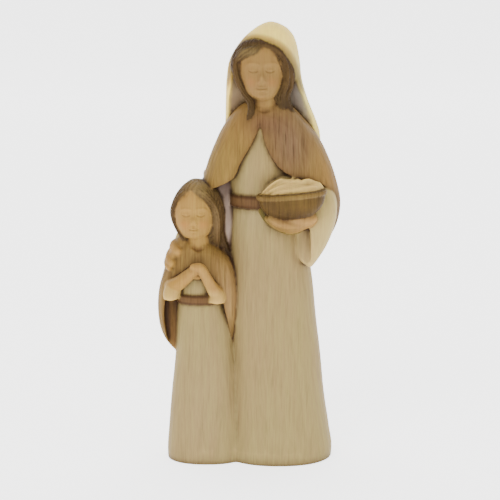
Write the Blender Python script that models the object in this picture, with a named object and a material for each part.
"""Carved wooden nativity figure: a veiled woman holding a bowl, with a girl under her other arm.

Everything is one block of wood, so the part is one solid. It stands on Z = 0 and faces -Y. Each form is
drawn as level ovals, rounded limbs or cuts seen from the front or the side, then all of them are fused by a
remesh and thinned to facets. The tables are in units of a 150th of the height: millimetres at the height
given here.
"""
import math

import bmesh
import bpy
import numpy as np
from mathutils import Matrix, Vector

HEIGHT = 0.150              # metres from the ground to the crown of the veil
UNIT = HEIGHT / 150.0
CELL = 0.42                 # size of the cells that fuse the forms
SMOOTHING = 2               # passes that soften the fused surface as sanding does
FACETS = 9200               # triangles left in the solid
RING = 72                   # corners round each level oval
STEPS = 48                  # ovals up each tall form
SHARP_FROM = 50             # edges that turn by more degrees than this stay crisp
EMBED = 3.0                 # how far the forms run below the ground before the base is cut flat

# Rows of the tall forms: height, left, right, front, back
WOMAN_DRESS = [
    (-EMBED, -8.6, 28.0, -16.4, 16.4), (0, -8.9, 28.4, -16.6, 16.6), (3, -9.0, 28.6, -16.6, 16.6),
    (10, -8.3, 27.6, -16.0, 16.2), (22, -7.6, 25.8, -14.9, 15.4), (37, -7.0, 24.3, -13.7, 14.3),
    (49, -6.9, 22.8, -12.9, 13.5), (62, -6.7, 21.5, -12.2, 12.6), (76, -6.6, 19.4, -11.4, 11.4),
    (90, -6.2, 17.4, -10.8, 10.2), (98, -7.0, 18.0, -11.7, 10.3), (104, -7.6, 18.4, -11.9, 10.2),
    (111, -6.2, 16.6, -11.0, 9.4), (115.5, -3.0, 13.0, -10.1, 7.6), (119, 0.2, 8.6, -7.0, 5.0),
]
WOMAN_BELT = [
    (88.1, -6.2, 17.4, -10.8, 10.2), (88.4, -7.0, 18.2, -11.6, 11.0), (90.3, -7.1, 18.3, -11.8, 11.1),
    (92.1, -7.0, 18.2, -11.8, 11.0), (92.4, -6.2, 17.4, -10.9, 10.2),
]
CAPE = [
    (73.5, -13.0, 26.0, -8.0, 12.6), (76, -14.4, 27.2, -10.0, 13.3), (82, -16.4, 29.9, -12.2, 14.0),
    (89, -17.2, 30.9, -13.6, 14.2), (96, -16.2, 29.6, -14.3, 14.0), (104.4, -13.8, 26.7, -13.7, 13.0),
    (110, -11.5, 24.0, -12.7, 12.0), (114, -9.6, 21.2, -11.8, 10.9), (118, -7.0, 17.8, -10.6, 9.2),
    (120.4, -5.0, 15.6, -9.6, 7.2), (122.4, -2.6, 13.0, -8.0, 5.4), (123.4, 0.6, 9.0, -5.6, 3.0),
]
VEIL = [
    (86, 2.0, 12.0, 12.5, 15.6), (88, -2.0, 15.6, 7.0, 16.0), (94, -5.4, 20.4, 2.0, 16.2),
    (104, -8.2, 23.6, -1.5, 15.6), (112, -8.8, 23.9, -4.5, 14.8), (117, -8.4, 22.3, -6.0, 14.2),
    (124, -8.2, 19.5, -7.2, 13.6), (131, -7.9, 17.5, -8.4, 13.4), (137, -6.9, 16.8, -9.3, 13.2),
    (141, -4.8, 16.1, -9.4, 12.4), (144.6, -2.0, 15.0, -8.4, 10.8), (147.5, 1.4, 12.8, -6.1, 8.3),
    (149.3, 4.4, 9.8, -2.6, 4.8), (150.0, 6.8, 7.2, 0.9, 1.4),
]
WOMAN_HEAD = [
    (124.5, 3.2, 5.4, -8.6, -6.2), (125.4, 1.0, 7.6, -9.8, -4.6), (127.3, -0.9, 9.2, -10.5, -2),
    (130, -2.3, 10.5, -10.9, 1), (133.5, -3.7, 11.3, -11.0, 3), (137.5, -3.9, 11.3, -10.9, 4),
    (140.5, -2.4, 10.0, -10.3, 3), (143.3, 1.4, 7.0, -8.6, 0),
]
WOMAN_HAIR = [
    (116, -1.2, 15.8, -6.8, 3), (120, -0.8, 14.9, -7.8, 3), (124.5, -1.9, 13.7, -8.5, 4),
    (128, -3.5, 14.2, -8.7, 4), (131, -5.1, 15.1, -9.0, 4), (134.6, -6.5, 15.1, -9.6, 4),
    (138, -6.3, 13.4, -10.0, 4), (141, -5.0, 11.2, -10.0, 4), (143.4, -2.6, 8.6, -9.6, 3),
    (144.9, 0.6, 5.6, -7.6, 0),
]
SLEEVE = [
    (68.2, 19.8, 20.9, -10.4, -7.4), (69.8, 17.4, 22.4, -11.6, -4.2), (73, 15.6, 24.7, -12.8, -0.8),
    (76, 15.2, 26.4, -13.4, 1.4), (79, 15.1, 27.7, -13.7, 2.6), (82, 15.4, 28.7, -13.9, 3.0),
    (86, 16.4, 29.4, -13.7, 3.0), (90, 17.4, 29.3, -12.6, 3.0), (93, 18.2, 28.6, -10.6, 3.0),
    (96, 19.0, 26.8, -6.6, 3.0), (98, 19.5, 25.0, -3.0, 3.0),
]
GIRL_DRESS = [
    (-EMBED, -28.2, -1.4, -14.4, 9.5), (0, -28.6, -1.2, -14.6, 9.8), (3, -28.7, -1.2, -14.6, 9.9),
    (9, -28.3, -1.8, -14.3, 9.6), (23, -27.1, -3.4, -13.2, 8.6), (37, -25.7, -4.9, -12.1, 7.6),
    (48, -25.1, -6.6, -11.4, 6.6), (56, -24.8, -9.0, -10.9, 5.6), (62, -25.0, -10.5, -10.9, 5.0),
    (68, -24.5, -11.5, -10.2, 4.4), (73, -22.0, -13.5, -8.0, 2.0),
]
GIRL_BELT = [
    (55.2, -24.8, -9.0, -10.9, 5.6), (55.5, -25.4, -8.4, -11.6, 6.2), (57.0, -25.4, -8.6, -11.8, 6.2),
    (58.3, -25.4, -8.8, -11.6, 6.2), (58.6, -24.8, -9.4, -10.9, 5.6),
]
GIRL_CAPE = [
    (37.6, -25.6, -5.6, -8.6, 4.6), (39.2, -27.2, -5.1, -9.6, 5.4), (42, -29.3, -4.5, -10.6, 6.0),
    (47, -31.1, -3.6, -11.4, 6.6), (53, -31.7, -3.0, -11.9, 6.9), (60, -31.1, -3.3, -12.2, 6.9),
    (65.4, -29.6, -4.5, -11.9, 6.4), (69.4, -28.4, -6.4, -11.4, 5.6), (72.2, -27.0, -9.0, -10.8, 4.4),
    (74.6, -25.2, -12.0, -9.8, 2.6), (76.4, -22.6, -14.4, -8.2, 0.6), (77.2, -20.6, -15.6, -6.6, -0.6),
]
GIRL_HEAD = [
    (77.6, -20.2, -17.2, -8.8, -6.4), (78.5, -22.2, -15.0, -10.0, -5), (80.5, -23.8, -13.4, -10.7, -3),
    (83.5, -25.2, -12.4, -11.1, 0), (86.5, -25.8, -12.2, -11.1, 1), (90, -25.0, -13.0, -10.9, 2),
    (93, -22.6, -15.0, -10.2, 1), (95.6, -20.4, -17.6, -8.6, -2),
]
GIRL_HAIR = [
    (70, -18.6, -8.4, -2.6, 4), (73, -20.6, -9.0, -4.6, 4.6), (76, -22.7, -9.2, -7.0, 5.2),
    (79, -24.9, -8.9, -8.8, 5.8), (82.5, -26.7, -8.7, -9.9, 6.2), (86, -27.3, -8.8, -10.6, 6.2),
    (90.5, -26.0, -9.7, -11.0, 5.6), (93.4, -24.3, -11.0, -10.8, 4.4), (95.5, -22.4, -13.2, -9.8, 2.6),
    (96.9, -20.4, -16.0, -7.4, 0.2), (97.4, -19.2, -18.2, -4.2, -2.4),
]

# Openings seen from the front: points across and up
CAPE_OPENING = [
    (3.4, 116.4), (4.6, 111.9), (6.9, 106.5), (10.0, 102.2), (14.0, 99.6), (18.4, 98.5), (22.4, 97.6),
    (25.2, 95.6), (28.0, 93.3), (29.3, 90.6), (29.5, 86.4), (28.8, 82), (27.2, 77.4), (24.6, 70), (-40, 70),
    (-40, 91.3), (-16.5, 93.2), (-10.8, 95.5), (-7.6, 97.2), (-5.3, 98.9), (-3.4, 103.5), (0, 109.2),
    (2.3, 113.8),
]
HOOD_OPENING = [
    (4.0, 106), (-16, 106), (-15, 119), (-10, 127), (-6.7, 133.2), (-5.9, 138), (-4.0, 141.8), (0.2, 144.2),
    (4.6, 144.2), (8.9, 142.6), (12.2, 139.6), (14.4, 135.6), (15.9, 131.0), (19.5, 126), (26, 119),
    (30, 106),
]
WOMAN_FACE = [
    (3.7, 143.0), (2.4, 140.6), (0, 139.2), (-2.4, 138.6), (-3.8, 137.4), (-3.4, 134.0), (-2.3, 130.4),
    (-0.6, 127.0), (1.3, 124.4), (1.2, 119), (4.2, 114), (9.0, 118), (9.4, 122.6), (8.1, 124.9), (9.4, 127.0),
    (10.5, 129.4), (11.0, 132.2), (10.5, 134.8), (9.2, 137.4), (7.3, 140.0), (5.3, 141.8),
]
GIRL_OPENING = [
    (-18.5, 68.5), (-14.0, 61.5), (-9.4, 56.8), (-8.5, 53), (-7.6, 49), (-6.5, 44), (-4.8, 37), (-4.8, 30),
    (-27, 30), (-27.4, 38), (-29.0, 46), (-29.3, 53), (-28.4, 58), (-23.5, 63.5),
]
GIRL_FACE = [
    (-19.4, 94.6), (-21.8, 93.4), (-23.8, 91.0), (-25.2, 87.4), (-25.0, 84.0), (-23.6, 81.0), (-21.2, 78.2),
    (-21.0, 74.6), (-17.6, 70.0), (-13.8, 74.6), (-14.0, 78.6), (-12.9, 81.6), (-12.7, 85.6), (-13.7, 89.0),
    (-15.8, 91.4), (-18.0, 93.2),
]
SLEEVE_MOUTH = [
    (15.2, 82.4), (14.2, 78.0), (14.2, 74.4), (15.4, 70.8), (18.2, 69.2), (20.0, 70.2), (20.4, 74.0),
    (20.3, 78.4), (19.8, 82.0), (18.0, 83.4),
]
SLEEVE_MOUTH_DEPTH = -10.4
SLEEVE_MOUTH_SLANT = 0.42   # how much nearer the floor of the mouth comes for each unit to the right
WOMAN_NECKLINE = [
    (0.6, 126), (1.0, 123.0), (2.3, 121.1), (4.4, 120.2), (6.8, 120.9), (9.0, 122.2), (10.4, 123.4),
    (10.6, 126),
]
GIRL_NECKLINE = [
    (-21.9, 79), (-21.2, 76.6), (-20.0, 74.6), (-17.6, 73.3), (-15.4, 74.1), (-14.0, 75.8), (-13.4, 79),
]
VEIL_SIDE = [
    (-40, 118.6), (-5, 118.6), (0, 114.5), (3.5, 109), (6.5, 100), (8.2, 91), (9, 80), (-40, 80),
]
VEIL_SIDE_LEAN = 0.2        # how much lower the veil's edge runs for each millimetre to the right

# The hollow behind the veil's edge: height, left, right, front, back
VEIL_HOLLOW = [
    (104, -22, 38, -27, 3), (117, -18, 32, -27, 3), (124, -14.5, 25.9, -27, 3), (127, -11.3, 21.9, -27, 3),
    (131, -9.4, 18.4, -27, 3), (138, -8.4, 15.4, -27, 3), (146, -3, 11, -27, 1),
]

# Rounded limbs: centre x, y, z, half width, half thickness
WOMAN_NECK = [(5.0, 0, 112, 5.6, 5.0), (5.1, -2.8, 120, 5.0, 5.4), (5.0, -3.2, 128, 4.7, 5.0)]
GIRL_NECK = [(-17.7, -2.8, 69, 5.0, 5.2), (-17.6, -4.2, 75, 4.2, 4.8), (-18.0, -4.4, 82, 4.0, 4.6)]
WOMAN_NOSE = [
    (3.9, -10.3, 135.6, 0.7, 0.8), (3.9, -10.6, 133.6, 0.8, 0.9), (3.9, -11.0, 131.6, 1.1, 1.0),
    (3.9, -10.8, 130.8, 1.2, 0.8),
]
GIRL_NOSE = [
    (-19.0, -10.4, 86.8, 0.6, 0.8), (-19.0, -10.7, 85.2, 0.7, 0.9), (-19.0, -11.1, 83.6, 1.0, 0.9),
    (-19.0, -10.9, 83.0, 1.0, 0.7),
]
FOREHEAD_LOCK = [
    (4.0, -9.4, 142.8, 0.6, 0.6), (1.6, -9.8, 141.2, 1.5, 1.2), (-1.4, -9.3, 140.2, 1.8, 1.4),
    (-4.2, -7.2, 138.0, 1.3, 1.2),
]
CHEEK_LOCK = [
    (-4.9, -6.9, 137.6, 1.1, 1.1), (-4.7, -7.1, 133.6, 1.2, 1.2), (-3.5, -7.2, 129.8, 1.2, 1.2),
    (-1.7, -7.4, 126.2, 1.0, 1.1), (0.2, -8.2, 123.4, 1.2, 1.2), (0.3, -9.6, 121.0, 1.2, 1.1),
    (-0.8, -10.8, 118.4, 0.6, 0.7),
]
TEMPLE_LOCKS = [
    [(4.9, -9.4, 142.9, 0.7, 0.6), (8.5, -8.7, 141.2, 1.2, 1.1), (11.2, -7.7, 137.8, 1.2, 1.1),
     (12.2, -7.3, 133.4, 1.2, 1.2), (11.6, -7.4, 129.0, 1.3, 1.2), (10.2, -7.5, 125.4, 1.3, 1.1),
     (10.6, -6.8, 121.6, 1.3, 1.1), (11.6, -5.6, 118, 1.2, 1.0)],
    [(8.6, -8.4, 141.0, 0.6, 0.6), (11.6, -7.0, 137.6, 1.0, 1.0), (13.6, -5.6, 132.6, 1.1, 1.2),
     (13.4, -5.6, 128.8, 1.2, 1.2), (12.0, -6.4, 125.0, 1.2, 1.2), (13.2, -5.6, 121.4, 1.3, 1.1),
     (14.6, -4.0, 118, 1.2, 1.0)],
]
GIRL_PART_LOCK = [
    (-19.2, -9.6, 94.7, 0.7, 0.6), (-16.6, -10.1, 93.6, 1.5, 1.0), (-13.7, -9.4, 91.0, 1.5, 1.1),
    (-11.7, -8.2, 87.0, 1.3, 1.2), (-11.2, -7.4, 82.4, 1.3, 1.2), (-11.4, -6.0, 78.0, 1.4, 1.2),
    (-11.2, -3.6, 74.0, 1.2, 1.2),
]
GIRL_OUTER_LOCK = [
    (-18.6, -6.0, 96.3, 0.7, 0.6), (-14.0, -5.4, 94.4, 1.6, 1.2), (-11.0, -4.4, 90.2, 1.6, 1.4),
    (-9.9, -3.4, 85.0, 1.4, 1.4), (-9.9, -2.8, 79.6, 1.4, 1.4), (-9.2, -2.8, 75.6, 1.5, 1.5),
    (-7.9, -2.8, 71.9, 1.6, 1.5), (-6.6, -2.6, 68.2, 1.2, 1.2),
]
GIRL_CHEEK_LOCK = [
    (-20.0, -8.8, 95.0, 0.6, 0.6), (-23.4, -8.2, 92.4, 0.8, 0.9), (-25.6, -6.4, 88.6, 0.9, 1.0),
    (-25.9, -5.8, 84.4, 0.9, 1.0), (-24.4, -6.8, 80.6, 0.9, 1.0), (-22.2, -7.6, 77.6, 1.1, 1.0),
]
WOMAN_LOCKS = [FOREHEAD_LOCK, CHEEK_LOCK, *TEMPLE_LOCKS]
GIRL_LOCKS = [GIRL_PART_LOCK, GIRL_OUTER_LOCK, GIRL_CHEEK_LOCK]

# Arms and hands
FAR_SLEEVE = [
    (-7, 2, 106, 4.4, 4.4), (-11.5, 4, 95, 4.4, 4.6), (-16, 5.6, 86, 4.2, 4.4), (-20.6, 5.4, 79, 3.6, 3.6),
    (-23.6, 2.6, 75.4, 2.4, 2.4),
]
FAR_DRAPE = [
    (65, -10.0, -3.6, -1.4, 7), (73.5, -12.0, -3.6, -2.4, 8), (78, -13.0, -3.4, -3.0, 9),
    (88, -15.0, -3.0, -3.2, 9.5), (99, -16, -2.4, -3.6, 9),
]
SHOULDER_HAND = [
    [(-24.0, -1.4, 74.9, 2.2, 2.0), (-25.5, -3.8, 74.1, 2.5, 2.0), (-25.3, -6.8, 73.3, 2.3, 1.7),
     (-24.2, -8.9, 73.1, 1.5, 1.3)],
    [(-25.8, -2.0, 72.4, 2.1, 1.9), (-27.1, -4.4, 71.0, 2.0, 1.7), (-27.1, -7.0, 69.9, 1.8, 1.5),
     (-26.4, -9.0, 69.2, 1.3, 1.2)],
    [(-26.4, -2.0, 70.8, 1.9, 1.7), (-27.7, -4.0, 69.3, 1.7, 1.6), (-27.8, -6.4, 68.3, 1.5, 1.4),
     (-27.3, -8.4, 67.6, 1.1, 1.1)],
]
BOWL_FOREARM = [
    (25.0, -2.0, 88.0, 3.0, 3.0), (21.5, -10.5, 85.2, 2.2, 2.9), (17.0, -15.0, 83.9, 2.2, 2.8),
    (13.2, -16.4, 83.4, 2.8, 2.6),
]
BOWL_FINGERS = [
    [(15.5, -17.6, 84.0, 1.9, 1.5), (12.0, -19.4, 84.2, 1.7, 1.4), (8.8, -19.8, 85.2, 1.4, 1.3),
     (6.8, -19.4, 86.3, 1.0, 1.0)],
    [(15.4, -16.0, 82.6, 2.0, 1.6), (11.8, -17.4, 82.8, 1.8, 1.5), (8.6, -17.8, 84.0, 1.5, 1.3),
     (5.8, -17.2, 86.0, 1.1, 1.0)],
    [(16.2, -14.0, 81.9, 1.8, 1.5), (13.4, -14.4, 81.4, 1.6, 1.4), (9.4, -15.0, 83.0, 1.7, 1.5),
     (5.8, -15.0, 85.6, 1.5, 1.4), (3.8, -14.8, 88.2, 1.1, 1.1)],
]
GIRL_NEAR_ARM = [
    (-26.8, -6.0, 61.2, 2.6, 2.6), (-26.2, -9.2, 61.4, 2.6, 2.6), (-24.0, -11.6, 63.0, 2.4, 2.6),
    (-20.9, -13.2, 65.8, 2.1, 2.4), (-18.4, -13.8, 68.0, 1.8, 2.2),
]
GIRL_FAR_ARM = [
    (-10.6, -7.0, 58.4, 2.5, 2.6), (-11.6, -10.8, 59.6, 2.3, 2.6), (-13.4, -13.2, 62.8, 1.9, 2.2),
    (-15.2, -14.6, 66.4, 1.7, 2.1), (-16.8, -15.2, 69.0, 1.6, 1.9), (-19.0, -14.9, 69.2, 1.2, 1.4),
]
GIRL_CUFF = [
    (57.0, -29.4, -24.4, -12.7, -5.4), (58.2, -29.6, -23.9, -13.0, -5.4), (60.4, -29.2, -23.4, -12.8, -5.4),
    (63.2, -28.2, -23.6, -11.8, -6),
]
GIRL_FAR_CUFF = [
    (55.9, -13.7, -8.8, -13.4, -6.6), (57.0, -13.9, -8.3, -13.7, -6.6), (59.0, -13.7, -8.5, -13.6, -6.6),
    (61.6, -14.0, -10.0, -13.2, -7.6),
]
CUFF_HOLLOWS = [((-26.5, -9.6, 56.4), (2.5, 2.9, 1.6)), ((-11.6, -10.6, 55.4), (1.9, 2.6, 1.8))]

# The bowl and the folded cloth heaped in it
BOWL_CENTRE = (13.7, -17.2, 94.9)
BOWL_RADII = (11.2, 6.9, 9.2)
BOWL_CORNER = 2.4           # above 2 makes the bowl fuller
BOWL_TILT = 5.0             # degrees the rim rises to the right
RIM_HEIGHT = 1.4
RIM_PROUD = 0.6
CLOTH_FOLDS = [
    [(5.0, -16.4, 93.7, 1.3, 1.4), (6.8, -15.6, 95.9, 1.5, 1.7), (10.2, -14.8, 97.4, 1.5, 1.7),
     (13.8, -14.4, 97.8, 1.4, 1.6), (17.4, -14.2, 97.0, 1.2, 1.4)],
    [(6.2, -17.4, 93.6, 1.2, 1.3), (10.0, -16.8, 95.2, 1.3, 1.4), (15.0, -15.8, 96.4, 1.3, 1.4),
     (20.2, -14.4, 97.8, 1.6, 1.5), (23.2, -13.8, 96.9, 1.5, 1.3)],
    [(7.4, -19.2, 93.3, 1.2, 1.2), (11.6, -19.0, 94.8, 1.4, 1.4), (16.6, -17.8, 95.8, 1.4, 1.4),
     (21.0, -16.0, 96.2, 1.2, 1.3), (23.4, -15.2, 95.4, 0.8, 0.9)],
    [(9.0, -20.6, 93.0, 1.0, 1.0), (13.2, -20.8, 93.9, 1.2, 1.2), (17.8, -19.4, 94.7, 1.2, 1.2),
     (21.6, -17.4, 95.2, 1.0, 1.0)],
]

# Wood left between a limb and the body, as (centre, radii)
BACKINGS = {
    "bowl_backing": ((13.4, -9.8, 94.2), (9.0, 6.0, 5.6)),
    "palm": ((13.7, -15.6, 85.8), (8.8, 4.6, 3.2)),
    "hand_backing": ((14.0, -10.6, 85.2), (8.8, 5.6, 4.2)),
    "praying_backing": ((-17.9, -11.4, 66.8), (3.2, 2.6, 2.6)),
    "nape_backing": ((-22.6, -4.2, 74.8), (2.8, 4.2, 3.8)),
    "knuckle_backing": ((-25.4, -5.8, 71.5), (2.2, 3.0, 2.4)),
    "hem_backing": ((-5.8, -1.5, 29.5), (2.6, 6.3, 9.6)),
}


def resampled(rows, count):
    """Eases a smooth curve through the rows, spaced by the distance between them."""
    rows = np.array(rows, dtype=float)
    steps = np.maximum(np.linalg.norm(np.diff(rows, axis=0), axis=1), 1e-6)
    along = np.concatenate([[0.0], np.cumsum(steps)])
    slopes = np.gradient(rows, along, axis=0)
    places = np.linspace(0.0, along[-1], count)
    index = np.clip(np.searchsorted(along, places, side="right") - 1, 0, len(rows) - 2)
    width = (along[index + 1] - along[index])[:, None]
    t = ((places - along[index])[:, None]) / width
    start, end = rows[index], rows[index + 1]
    return (start * (2 * t**3 - 3 * t**2 + 1) + end * (3 * t**2 - 2 * t**3)
            + slopes[index] * width * (t**3 - 2 * t**2 + t) + slopes[index + 1] * width * (t**3 - t**2))


def linked(name, bm):
    """Turns a bmesh into a scene object."""
    bmesh.ops.recalc_face_normals(bm, faces=bm.faces)
    mesh = bpy.data.meshes.new(name)
    bm.to_mesh(mesh)
    bm.free()
    obj = bpy.data.objects.new(name, mesh)
    bpy.context.collection.objects.link(obj)
    return obj


def skinned(name, rings):
    """A closed surface through equal rings of points, with both ends filled."""
    bm = bmesh.new()
    rows = [[bm.verts.new(Vector(point) * UNIT) for point in ring] for ring in rings]
    count = len(rows[0])
    for lower, upper in zip(rows, rows[1:]):
        for i in range(count):
            j = (i + 1) % count
            bm.faces.new((lower[i], lower[j], upper[j], upper[i]))
    for ring in (rows[0], rows[-1]):
        middle = bm.verts.new(sum((v.co for v in ring), Vector()) / count)
        for i in range(count):
            bm.faces.new((ring[i], ring[(i + 1) % count], middle))
    return linked(name, bm)


def tower(name, rows, corner=2.0, steps=STEPS):
    """A tall form through level ovals; corner above 2 squares the ovals."""
    angles = np.linspace(0.0, 2 * math.pi, RING, endpoint=False)
    across = np.sign(np.cos(angles)) * np.abs(np.cos(angles)) ** (2 / corner)
    along = np.sign(np.sin(angles)) * np.abs(np.sin(angles)) ** (2 / corner)
    rings = []
    for z, left, right, front, back in resampled(rows, steps):
        half_x = (right - left) / 2
        half_y = (back - front) / 2
        x = (left + right) / 2 + half_x * across
        y = (front + back) / 2 + half_y * along
        rings.append(np.column_stack([x, y, np.full(RING, z)]))
    return skinned(name, rings)


def limb(name, rows, side=(0, 0, 1), steps=28, around=20):
    """A rounded tube whose half width lies along side; both ends are domed."""
    points = resampled(rows, steps)
    rings = []
    side = np.array(side, dtype=float)
    angles = np.linspace(0.0, 2 * math.pi, around, endpoint=False)
    heading = np.gradient(points[:, :3], axis=0)
    heading /= np.linalg.norm(heading, axis=1)[:, None]
    for row, (point, ahead) in enumerate(zip(points, heading)):
        wide = side - ahead * side.dot(ahead)
        wide /= np.linalg.norm(wide)
        thick = np.cross(ahead, wide)
        across = np.cos(angles)[:, None] * wide * point[3]
        deep = np.sin(angles)[:, None] * thick * point[4]
        rings.append(point[:3] + across + deep)
    domed = []
    for turn in (80, 60, 35):
        shrink, push = math.cos(math.radians(turn)), math.sin(math.radians(turn))
        first, last = points[0], points[-1]
        reach_first, reach_last = min(first[3:5]) * push, min(last[3:5]) * push
        domed.append((first[:3] + (rings[0] - first[:3]) * shrink - heading[0] * reach_first,
                      last[:3] + (rings[-1] - last[:3]) * shrink + heading[-1] * reach_last))
    return skinned(name, [a for a, _ in domed] + rings + [b for _, b in reversed(domed)])


def ball(name, centre, radii, turn=(0, 0, 0), corner=2.0):
    """An ellipsoid, turned by degrees about X, Y and Z; corner above 2 makes it boxier."""
    bm = bmesh.new()
    bmesh.ops.create_uvsphere(bm, u_segments=48, v_segments=24, radius=1.0)
    for vertex in bm.verts:
        vertex.co /= sum(abs(c) ** corner for c in vertex.co) ** (1 / corner)
    place = Matrix.Translation(Vector(centre) * UNIT)
    for degrees, axis in zip(reversed(turn), "ZYX"):
        place = place @ Matrix.Rotation(math.radians(degrees), 4, axis)
    place = place @ Matrix.Diagonal((*(radius * UNIT for radius in radii), 1.0))
    bmesh.ops.transform(bm, matrix=place, verts=bm.verts)
    return linked(name, bm)


def eased_outline(points, count=90):
    """A smooth closed outline through the points."""
    loop = list(points[-3:]) + list(points) + list(points[:3])
    curve = resampled(loop, count * 3)
    first, last = np.array(points[0]), np.array(points[-1])
    start = int(np.argmin(np.linalg.norm(curve[: len(curve) // 2] - first, axis=1)))
    half = len(curve) // 2
    end = half + int(np.argmin(np.linalg.norm(curve[half:] - last, axis=1)))
    return [tuple(p) for p in curve[start:end + 1:3]]


def prism(name, corners, run):
    """A cutter made by running a flat outline along a vector."""
    bm = bmesh.new()
    face = bm.faces.new([bm.verts.new(Vector(c) * UNIT) for c in corners])
    swept = bmesh.ops.extrude_face_region(bm, geom=[face])
    moved = [item for item in swept["geom"] if isinstance(item, bmesh.types.BMVert)]
    bmesh.ops.translate(bm, verts=moved, vec=Vector(run) * UNIT)
    return linked(name, bm)


def front_cut(name, outline, depth, slant=0.0):
    """Everything inside the outline, from well in front of the figure to the depth, whose floor may slant."""
    cutter = prism(name, [(x, -60.0, z) for x, z in outline], (0, depth + 60.0, 0))
    middle = sum(x for x, _ in outline) / len(outline)
    floor = [vertex.co for vertex in cutter.data.vertices if vertex.co.y > -59.0 * UNIT]
    for place in floor:
        place.y -= slant * (place.x - middle * UNIT)
    return cutter


def side_cut(name, outline, lean):
    """An outline of y and z run across the figure, leaning down to the right."""
    return prism(name, [(-60.0, y, z + 60.0 * lean) for y, z in outline], (120.0, 0, -120.0 * lean))


def carved(solid, cutters, operation="DIFFERENCE"):
    """Cuts or joins with exact Booleans, then takes the cutters away."""
    for cutter in cutters:
        modifier = solid.modifiers.new(cutter.name, "BOOLEAN")
        modifier.operation = operation
        modifier.solver = "EXACT"
        modifier.object = cutter
    graph = bpy.context.evaluated_depsgraph_get()
    mesh = bpy.data.meshes.new_from_object(solid.evaluated_get(graph))
    solid.modifiers.clear()
    solid.data = mesh
    for cutter in cutters:
        bpy.data.objects.remove(cutter)
    return solid


def capes():
    """Both capes, opened in front."""
    parts = []
    for name, rows, corner, opening, opening_depth, neckline, neckline_depth in (
            ("cape", CAPE, 2.15, CAPE_OPENING, 1.5, WOMAN_NECKLINE, -8.5),
            ("girl_cape", GIRL_CAPE, 2.2, GIRL_OPENING, -4.6, GIRL_NECKLINE, -8.9)):
        cuts = [front_cut(name + "_opening", eased_outline(opening), opening_depth),
                front_cut(name + "_neckline", neckline, neckline_depth)]
        parts.append(carved(tower(name, rows, corner), cuts))
    return parts


def veil():
    """The hood and the cloth down the back, hollow behind its front edge."""
    cloth = tower("veil", VEIL, corner=2.1, steps=64)
    hollow = tower("hollow", VEIL_HOLLOW)
    carved(hollow, [front_cut("hood_opening", eased_outline(HOOD_OPENING), 6.0)], "INTERSECT")
    carved(cloth, [hollow, side_cut("veil_side", VEIL_SIDE, VEIL_SIDE_LEAN)])
    return [cloth]


def heads():
    """Heads, necks, noses and hair."""
    parts = []
    for name, head, nose, neck, hair, face, locks in (
            ("woman", WOMAN_HEAD, WOMAN_NOSE, WOMAN_NECK, WOMAN_HAIR, WOMAN_FACE, WOMAN_LOCKS),
            ("girl", GIRL_HEAD, GIRL_NOSE, GIRL_NECK, GIRL_HAIR, GIRL_FACE, GIRL_LOCKS)):
        parts.append(tower(name + "_head", head, corner=2.15))
        parts.append(limb(name + "_nose", nose, side=(1, 0, 0), steps=16))
        parts.append(limb(name + "_neck", neck, side=(1, 0, 0)))
        mass = tower(name + "_hair", hair, corner=2.1)
        parts.append(carved(mass, [front_cut(name + "_face", eased_outline(face), 0.0)]))
        parts.extend(limb(f"{name}_lock_{i}", rows, side=(1, 0, 0)) for i, rows in enumerate(locks))
    return parts


def bowl():
    """The bowl with its rim band, and the folded cloth heaped in it."""
    x, y, z = BOWL_CENTRE
    turn = (0, -BOWL_TILT, 0)
    reach = 40
    rise = reach * math.tan(math.radians(BOWL_TILT))

    def above(name, height):
        left, right = (x - reach, height - rise), (x + reach, height + rise)
        return front_cut(name, [left, right, (x + reach, z + reach), (x - reach, z + reach)], reach)

    def below(name, height):
        left, right = (x - reach, height - rise), (x + reach, height + rise)
        return front_cut(name, [(x - reach, z - reach), (x + reach, z - reach), right, left], reach)

    shell = carved(ball("bowl", (x, y, z), BOWL_RADII, turn, BOWL_CORNER), [above("bowl_top", z)])
    grown = tuple(radius + RIM_PROUD for radius in BOWL_RADII)
    band = ball("rim", (x, y, z), grown, turn, BOWL_CORNER)
    rim = carved(band, [above("rim_top", z), below("rim_low", z - RIM_HEIGHT)])
    heap = ball("cloth_heap", (x + 0.3, y + 1.2, z), (9.4, 5.0, 3.0), (0, -4, 0))
    folds = [limb(f"cloth_fold_{i}", rows, side=(0, 1, 0)) for i, rows in enumerate(CLOTH_FOLDS)]
    return [shell, rim, heap, *folds]


def arms():
    """Sleeves, cuffs and hands of both figures."""
    sleeve = tower("sleeve", SLEEVE, corner=2.2)
    mouth = eased_outline(SLEEVE_MOUTH)
    carved(sleeve, [front_cut("sleeve_mouth", mouth, SLEEVE_MOUTH_DEPTH, SLEEVE_MOUTH_SLANT)])
    parts = [sleeve, limb("forearm", BOWL_FOREARM)]
    parts.append(tower("far_drape", FAR_DRAPE, corner=4.0))
    parts.append(limb("far_sleeve", FAR_SLEEVE, side=(1, 0, 0)))
    parts.extend(limb(f"bowl_finger_{i}", rows, side=(0, 1, 0)) for i, rows in enumerate(BOWL_FINGERS))
    parts.extend(limb(f"shoulder_finger_{i}", rows) for i, rows in enumerate(SHOULDER_HAND))
    parts.append(limb("near_arm", GIRL_NEAR_ARM))
    parts.append(limb("far_arm", GIRL_FAR_ARM))
    for name, rows, hollow in zip(("near_cuff", "far_cuff"), (GIRL_CUFF, GIRL_FAR_CUFF), CUFF_HOLLOWS):
        parts.append(carved(tower(name, rows), [ball(name + "_hollow", *hollow)]))
    return parts


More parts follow.
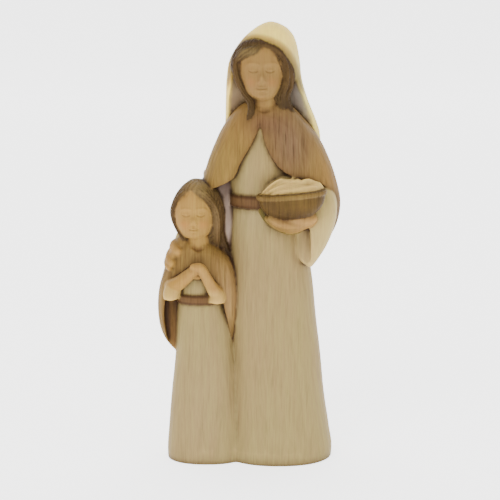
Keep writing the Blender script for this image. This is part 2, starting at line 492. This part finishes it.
def forms():
    """Every form of the carving, in place."""
    parts = [
        tower("woman_dress", WOMAN_DRESS, corner=2.2),
        tower("woman_belt", WOMAN_BELT, corner=2.2, steps=16),
        tower("girl_dress", GIRL_DRESS, corner=2.3),
        tower("girl_belt", GIRL_BELT, corner=2.3, steps=12),
    ]
    parts.extend(ball(name, centre, radii) for name, (centre, radii) in BACKINGS.items())
    return parts + capes() + veil() + heads() + bowl() + arms()


def joined(parts):
    """Puts the forms into one mesh, still overlapping."""
    bm = bmesh.new()
    for part in parts:
        bm.from_mesh(part.data)
        bpy.data.objects.remove(part)
    bmesh.ops.triangulate(bm, faces=bm.faces)
    mesh = bpy.data.meshes.new("figure")
    bm.to_mesh(mesh)
    bm.free()
    obj = bpy.data.objects.new("figure", mesh)
    bpy.context.collection.objects.link(obj)
    return obj


def largest_shell(bm):
    """Deletes everything but the shell with the most faces."""
    left = set(bm.faces)
    best = []
    while left:
        stack = [left.pop()]
        shell = []
        while stack:
            face = stack.pop()
            shell.append(face)
            for edge in face.edges:
                for other in edge.link_faces:
                    if other in left:
                        left.remove(other)
                        stack.append(other)
        if len(shell) > len(best):
            best = shell
    keep = set(best)
    bmesh.ops.delete(bm, geom=[f for f in bm.faces if f not in keep], context="FACES")


def fused(obj):
    """Fuses the forms, softens them and thins the surface to facets."""
    remesh = obj.modifiers.new("fuse", "REMESH")
    remesh.mode = "VOXEL"
    remesh.voxel_size = CELL * UNIT
    graph = bpy.context.evaluated_depsgraph_get()
    obj.data = bpy.data.meshes.new_from_object(obj.evaluated_get(graph))
    obj.modifiers.clear()
    bm = bmesh.new()
    bm.from_mesh(obj.data)
    largest_shell(bm)
    axes = {"use_axis_x": True, "use_axis_y": True, "use_axis_z": True}
    for _ in range(SMOOTHING):
        bmesh.ops.smooth_vert(bm, verts=bm.verts, factor=0.5, **axes)
    everything = [*bm.verts, *bm.edges, *bm.faces]
    cut = bmesh.ops.bisect_plane(bm, geom=everything, dist=1e-7, plane_no=(0, 0, 1), clear_inner=True)
    rim = [item for item in cut["geom_cut"] if isinstance(item, bmesh.types.BMEdge)]
    bmesh.ops.contextual_create(bm, geom=rim)
    bmesh.ops.triangulate(bm, faces=bm.faces)
    bm.to_mesh(obj.data)
    bm.free()
    thin = obj.modifiers.new("facets", "DECIMATE")
    thin.ratio = FACETS / len(obj.data.polygons)
    graph = bpy.context.evaluated_depsgraph_get()
    obj.data = bpy.data.meshes.new_from_object(obj.evaluated_get(graph))
    obj.modifiers.clear()
    for polygon in obj.data.polygons:
        if polygon.normal.z < -0.9 and polygon.center.z < CELL * UNIT:
            for index in polygon.vertices:
                obj.data.vertices[index].co.z = 0.0
    return obj


def wood(name, colour, roughness):
    """A plain wood material."""
    material = bpy.data.materials.new(name)
    material.use_nodes = True
    shader = material.node_tree.nodes["Principled BSDF"]
    shader.inputs["Base Color"].default_value = (*colour, 1.0)
    shader.inputs["Roughness"].default_value = roughness
    shader.inputs["Metallic"].default_value = 0.0
    return material


def build():
    """Makes the finished solid."""
    for obj in list(bpy.data.objects):
        bpy.data.objects.remove(obj)
    figure = fused(joined(forms()))
    points = np.array([v.co for v in figure.data.vertices])
    low, high = points.min(axis=0), points.max(axis=0)
    figure.data.transform(Matrix.Translation((-(low[0] + high[0]) / 2, -(low[1] + high[1]) / 2, 0.0)))
    figure.data.materials.clear()
    figure.data.materials.append(wood("carved_wood", (0.52, 0.41, 0.25), 0.6))
    for polygon in figure.data.polygons:
        polygon.material_index = 0
        polygon.use_smooth = True
    figure.data.set_sharp_from_angle(angle=math.radians(SHARP_FROM))
    return figure


build()
